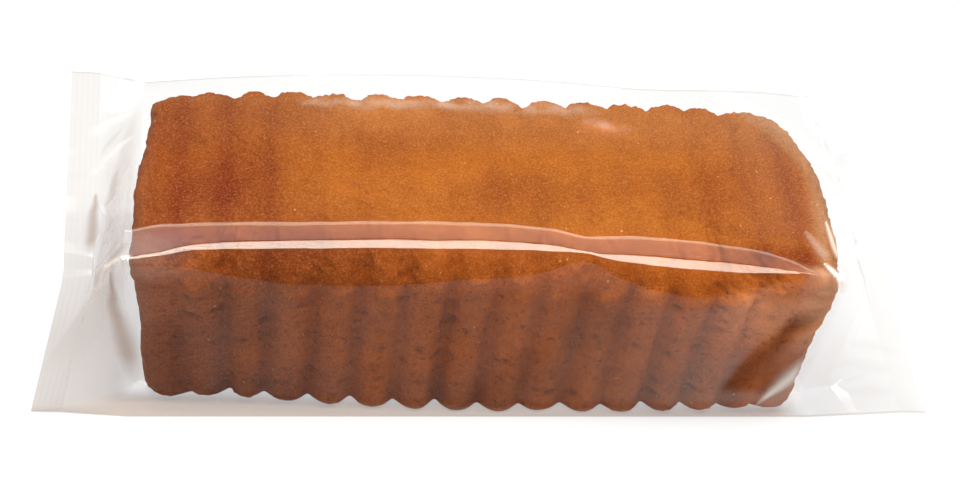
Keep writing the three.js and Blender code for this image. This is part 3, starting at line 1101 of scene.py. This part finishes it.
def film_grey_and_painted_shade(rings, folds):
    """Greyness of the film: painted shade over the loose left end, the foot, the low right end and in
    strokes, crimped seals with more painted shade low on the left, and folds.
    """
    x, _, z = np.moveaxis(rings, -1, 0)
    fold_x, fold_z, steepness = LEFT_FOLD_LINE
    below_fold = fade(-3.0, 3.0, z - (fold_z + steepness * (x - fold_x)))
    below_fold = below_fold * (0.55 + 0.45 * zone(rings, "grey_left_upper"))
    left = zone(rings, "grey_left") * (0.05 + 0.05 * bell(z, *LEFT_GREY_BAND) + 0.3 * below_fold)
    foot, right = 0.42 * zone(rings, "grey_foot"), 0.03 * zone(rings, "grey_right")
    grey_and_painted_shade = np.maximum.reduce([strokes(rings, PAINTED_SHADE_STROKES), left, right, foot])
    seal = np.arange(SEAL_STATIONS + 1)
    crimps = np.where(seal % CRIMP_STATIONS == 0, 1.0, CRIMP_FADE)[:, None]
    fading = 1.0 - 0.5 * zone(rings, "upper_seal")
    for edge, strength in ((seal, LEFT_SEAL_GREY), (-1 - seal, RIGHT_SEAL_GREY)):
        grey_and_painted_shade[edge] = np.maximum(grey_and_painted_shade[edge], strength * fading[edge] * crimps)
    grey_and_painted_shade[:, folds] = np.maximum(grey_and_painted_shade[:, folds], FOLD_GREY)
    return grey_and_painted_shade


def film_cling(points):
    """How closely the film clings to the crust, which dulls its gloss."""
    patchy = 0.35 + 0.08 * waves(points * np.array([1.0, 1.0, 0.3]), 16.0, SEED + 42)
    left, right = patchy * zone(points, "cling_left"), 0.85 * slant(points)
    wall = zone(points, "front_wall") * np.maximum(left, right)
    foot = 0.85 * zone(points, "cling_foot")
    seals = 0.9 * (1.0 - zone(points, "between_seals"))
    ridge = np.maximum(0.18 * zone(points, "cling_right"), 0.95 * zone(points, "cling_corner"))
    brow_line = ridge * zone(points, "cling_brow")
    return np.clip(np.maximum.reduce([wall, foot, seals, brow_line]), 0.0, 1.0)


def sharpen_folds(mesh, ring_count, count, folds):
    """Keeps the shading of the two panels apart along the bag's folds and outer edges."""
    ends = np.zeros(2 * len(mesh.edges), dtype=np.int32)
    mesh.edges.foreach_get("vertices", ends)
    ring, spot = np.divmod(ends.reshape(-1, 2), count)
    on_fold = (spot[:, 0] == spot[:, 1]) & np.isin(spot[:, 0], folds)
    on_rim = (ring[:, 0] == ring[:, 1]) & np.isin(ring[:, 0], (0, ring_count - 1))
    mesh.attributes.new("sharp_edge", "BOOLEAN", "EDGE").data.foreach_set("value", on_fold | on_rim)


# Materials

class Nodes:
    """A material's node tree, with short calls to add and join nodes."""

    def __init__(self, name):
        self.material = bpy.data.materials.new(name)
        self.material.use_nodes = True
        self.tree = self.material.node_tree
        self.tree.nodes.clear()
        self.output = self.tree.nodes.new("ShaderNodeOutputMaterial")

    def add(self, kind, inputs=(), **settings):
        """Adds a node; inputs maps socket names or numbers to values or other sockets."""
        node = self.tree.nodes.new("ShaderNode" + kind)
        for key, value in settings.items():
            setattr(node, key, value)
        for key, value in dict(inputs).items():
            self.put(node.inputs[key], value)
        return node

    def put(self, socket, value):
        """Gives an input socket a value or an opaque colour, or joins another socket to it."""
        if isinstance(value, bpy.types.NodeSocket):
            self.tree.links.new(value, socket)
        else:
            socket.default_value = (*value, 1.0) if socket.type == "RGBA" else value

    def math(self, operation, first, second=0.0):
        """The result of an operation on two numbers or sockets."""
        return self.add("Math", {0: first, 1: second}, operation=operation).outputs[0]

    def mix(self, share, first, second, blend="MIX"):
        """The first colour where share is 0, blended with the second where it is 1."""
        node = self.add("Mix", {0: share, 6: first, 7: second}, data_type="RGBA", blend_type=blend)
        return node.outputs[2]

    def ramp(self, value, low, high):
        """0 below low, 1 above high."""
        node = self.add("MapRange", {0: value, 1: low, 2: high, 3: 0.0, 4: 1.0})
        return node.outputs[0]

    def tint(self, share, base, factor):
        """The base colour, multiplied by a factor where share is 1."""
        return self.mix(share, base, self.mix(1.0, base, factor, "MULTIPLY"))

    def attribute(self, name):
        """A number kept for each vertex."""
        return self.add("Attribute", attribute_name=name).outputs["Fac"]

    def finish(self, surface):
        """Joins the surface to the output."""
        self.tree.links.new(surface, self.output.inputs["Surface"])
        return self.material


def crust_material():
    """Baked crust: golden top, browner walls, fine grain and pale specks, painted shade in the pits and
    pores, and a painted highlight by the front right corner.
    """
    n = Nodes("crust")
    place = n.add("TexCoord").outputs["Object"]
    mm = n.add("VectorMath", {0: place, "Scale": 1000.0}, operation="SCALE").outputs[0]
    wide = n.add("VectorMath", {0: mm, 1: (0.5, 1.0, 1.0)}, operation="MULTIPLY").outputs[0]

    def noise(size, detail=2.0, rough=0.5, vector=mm):
        return n.add("TexNoise", {"Vector": vector, "Scale": 1.0 / size, "Detail": detail,
                                  "Roughness": rough}).outputs["Fac"]

    def dots(vector, size, low, high, share, channel):
        """Round dots in a share of random cells."""
        cells = n.add("TexVoronoi", {"Vector": vector, "Scale": 1.0 / size, "Randomness": 1.0})
        random = n.add("SeparateColor", {0: cells.outputs["Color"]}).outputs[channel]
        chosen = n.ramp(random, 1.0 - share, 1.02 - share)
        inside = n.math("SUBTRACT", 1.0, n.ramp(cells.outputs["Distance"], low, high))
        return n.math("MULTIPLY", inside, chosen)

    wall, brown, pit = (n.attribute(name) for name in ("wall", "brown", "pit"))
    pale, light = n.attribute("pale"), n.attribute("light")
    top = n.mix(brown, TOP_GOLD, TOP_BROWN)
    side = n.mix(brown, SIDE_LIGHT, SIDE_BROWN)
    base = n.mix(wall, top, side)
    base = n.mix(n.math("MULTIPLY", pale, 0.75), base, PALE_CRUST)
    # Painted highlight by the front right corner
    base = n.mix(light, base, PAINTED_HIGHLIGHT_CRUST)
    base = n.tint(n.ramp(noise(MOTTLE_SIZE, 4.0, 0.6), 0.35, 0.65), base, MOTTLE_TINT)
    grain = noise(GRAIN_SIZE, 2.0, 0.55)
    base = n.tint(n.ramp(grain, 0.5, 0.25), base, GRAIN_TINT)
    base = n.mix(n.math("MULTIPLY", n.ramp(grain, 0.5, 0.75), 0.26), base, LIGHT_GRAIN)
    low = n.math("MULTIPLY", n.ramp(wall, 0.6, 1.0), n.ramp(light, 0.8, 0.3))
    streak = n.math("MULTIPLY", n.ramp(noise(STREAK_SIZE, 3.0, 0.6, wide), 0.56, 0.72), low)
    base = n.tint(streak, base, STREAK_TINT)
    pores = n.math("MULTIPLY", dots(wide, PORE_SPACING, 0.08, 0.24, 0.24, 0), low)
    # Painted shade in the pores and pits
    hollow_depth_and_shade = n.math("MAXIMUM", n.math("MULTIPLY", pores, 0.5), n.math("MULTIPLY", pit, 0.75))
    base = n.mix(hollow_depth_and_shade, base, PIT_SHADE)
    specks = n.math("MULTIPLY", dots(mm, SPECK_SPACING, 0.04, 0.09, 0.25, 1), 0.6)
    base = n.mix(specks, base, PALE_SPECK)
    height = n.math("SUBTRACT", n.math("MULTIPLY", grain, 0.6), hollow_depth_and_shade)
    bump = n.add("Bump", {"Height": height, "Strength": 0.3, "Distance": 0.0005})
    shader = n.add("BsdfPrincipled", {"Base Color": base, "Roughness": 0.7,
                                      "Specular IOR Level": 0.1, "Normal": bump.outputs["Normal"]})
    return n.finish(shader.outputs[0])


def film_material():
    """Thin clear film: mostly see-through, a mirror gloss that grows at grazing angles, grey where shade
    is painted and white where highlights are painted.
    """
    n = Nodes("film")
    grey_and_painted_shade = n.attribute("grey_and_painted_shade")
    facing = n.add("LayerWeight", {"Blend": 0.5}).outputs["Facing"]
    grazing = n.math("MULTIPLY", n.math("POWER", facing, 5.0), GRAZING_GLOSS)
    loose = n.math("SUBTRACT", 1.0, n.attribute("cling"))
    gloss = n.math("MULTIPLY", n.math("ADD", grazing, FILM_GLOSS), loose)
    tone = n.mix(grey_and_painted_shade, CLEAR_FILM, GREY_FILM)
    clear = n.add("BsdfTransparent", {"Color": tone}).outputs[0]
    rough = n.math("ADD", grey_and_painted_shade, FILM_ROUGHNESS)
    shine = n.add("BsdfGlossy", {"Color": WHITE, "Roughness": rough}).outputs[0]
    mixed = n.add("MixShader", {0: gloss, 1: clear, 2: shine}).outputs[0]
    painted_white = n.add("BsdfDiffuse", {"Color": PAINTED_HIGHLIGHT_WHITE}).outputs[0]
    with_painted_white = n.add("MixShader", {0: n.attribute("haze_and_painted_sheen"), 1: mixed, 2: painted_white}).outputs[0]
    return n.finish(with_painted_white)


def floor_material():
    """A white table lit from below."""
    n = Nodes("floor")
    shader = n.add("BsdfPrincipled", {"Base Color": FLOOR_WHITE, "Roughness": 0.8,
                                      "Emission Color": FLOOR_GLOW, "Emission Strength": FLOOR_STRENGTH})
    return n.finish(shader.outputs[0])


# Pieces

loaf = make_loaf()
loaf.data.materials.append(crust_material())

film = make_film()
film.data.materials.append(film_material())

for piece, slot in ((loaf, "crust"), (film, "film")):
    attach(piece, "root")
    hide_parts("bagged_cake")


# Stage, light and camera

def make_floor():
    """A flat floor under the object."""
    corners = FLOOR_HALF * np.array([(-1, -1, 0), (1, -1, 0), (1, 1, 0), (-1, 1, 0)])
    floor = mesh_object("floor", corners, [(0, 1, 2, 3)])
    floor.data.materials.append(floor_material())


def area_light(name, place, size, radiance, tint):
    """A rectangular light facing straight down, of a given brightness."""
    data = bpy.data.lights.new(name, "AREA")
    data.shape = "RECTANGLE"
    data.size, data.size_y = size
    data.energy = radiance * math.pi * size[0] * size[1]
    data.color = tint
    add_object(name, data).location = place


def make_light():
    """A bright strip over the front edge, and a dim panel behind it with a bright far edge."""
    for light in LIGHTS:
        area_light(*light)
    world = bpy.data.worlds.new("world")
    world.use_nodes = True
    world.node_tree.nodes["Background"].inputs["Color"].default_value = (*WORLD_GREY, 1.0)
    bpy.context.scene.world = world


def make_camera():
    """The photograph's view."""
    data = bpy.data.cameras.new("camera")
    data.lens = CAMERA_LENS
    data.sensor_width = 36.0
    data.clip_start = 0.01
    camera = add_object("camera", data)
    turn = Matrix.Rotation(math.radians(-CAMERA_AZIMUTH), 4, "Z")
    tilt = Matrix.Rotation(math.radians(90.0 - CAMERA_DOWN), 4, "X")
    roll = Matrix.Rotation(math.radians(CAMERA_ROLL), 4, "Z")
    camera.matrix_world = Matrix.Translation(CAMERA_PLACE) @ turn @ tilt @ roll
    bpy.context.scene.camera = camera


make_floor()
make_light()
make_camera()
bpy.context.scene.view_settings.view_transform = "Standard"
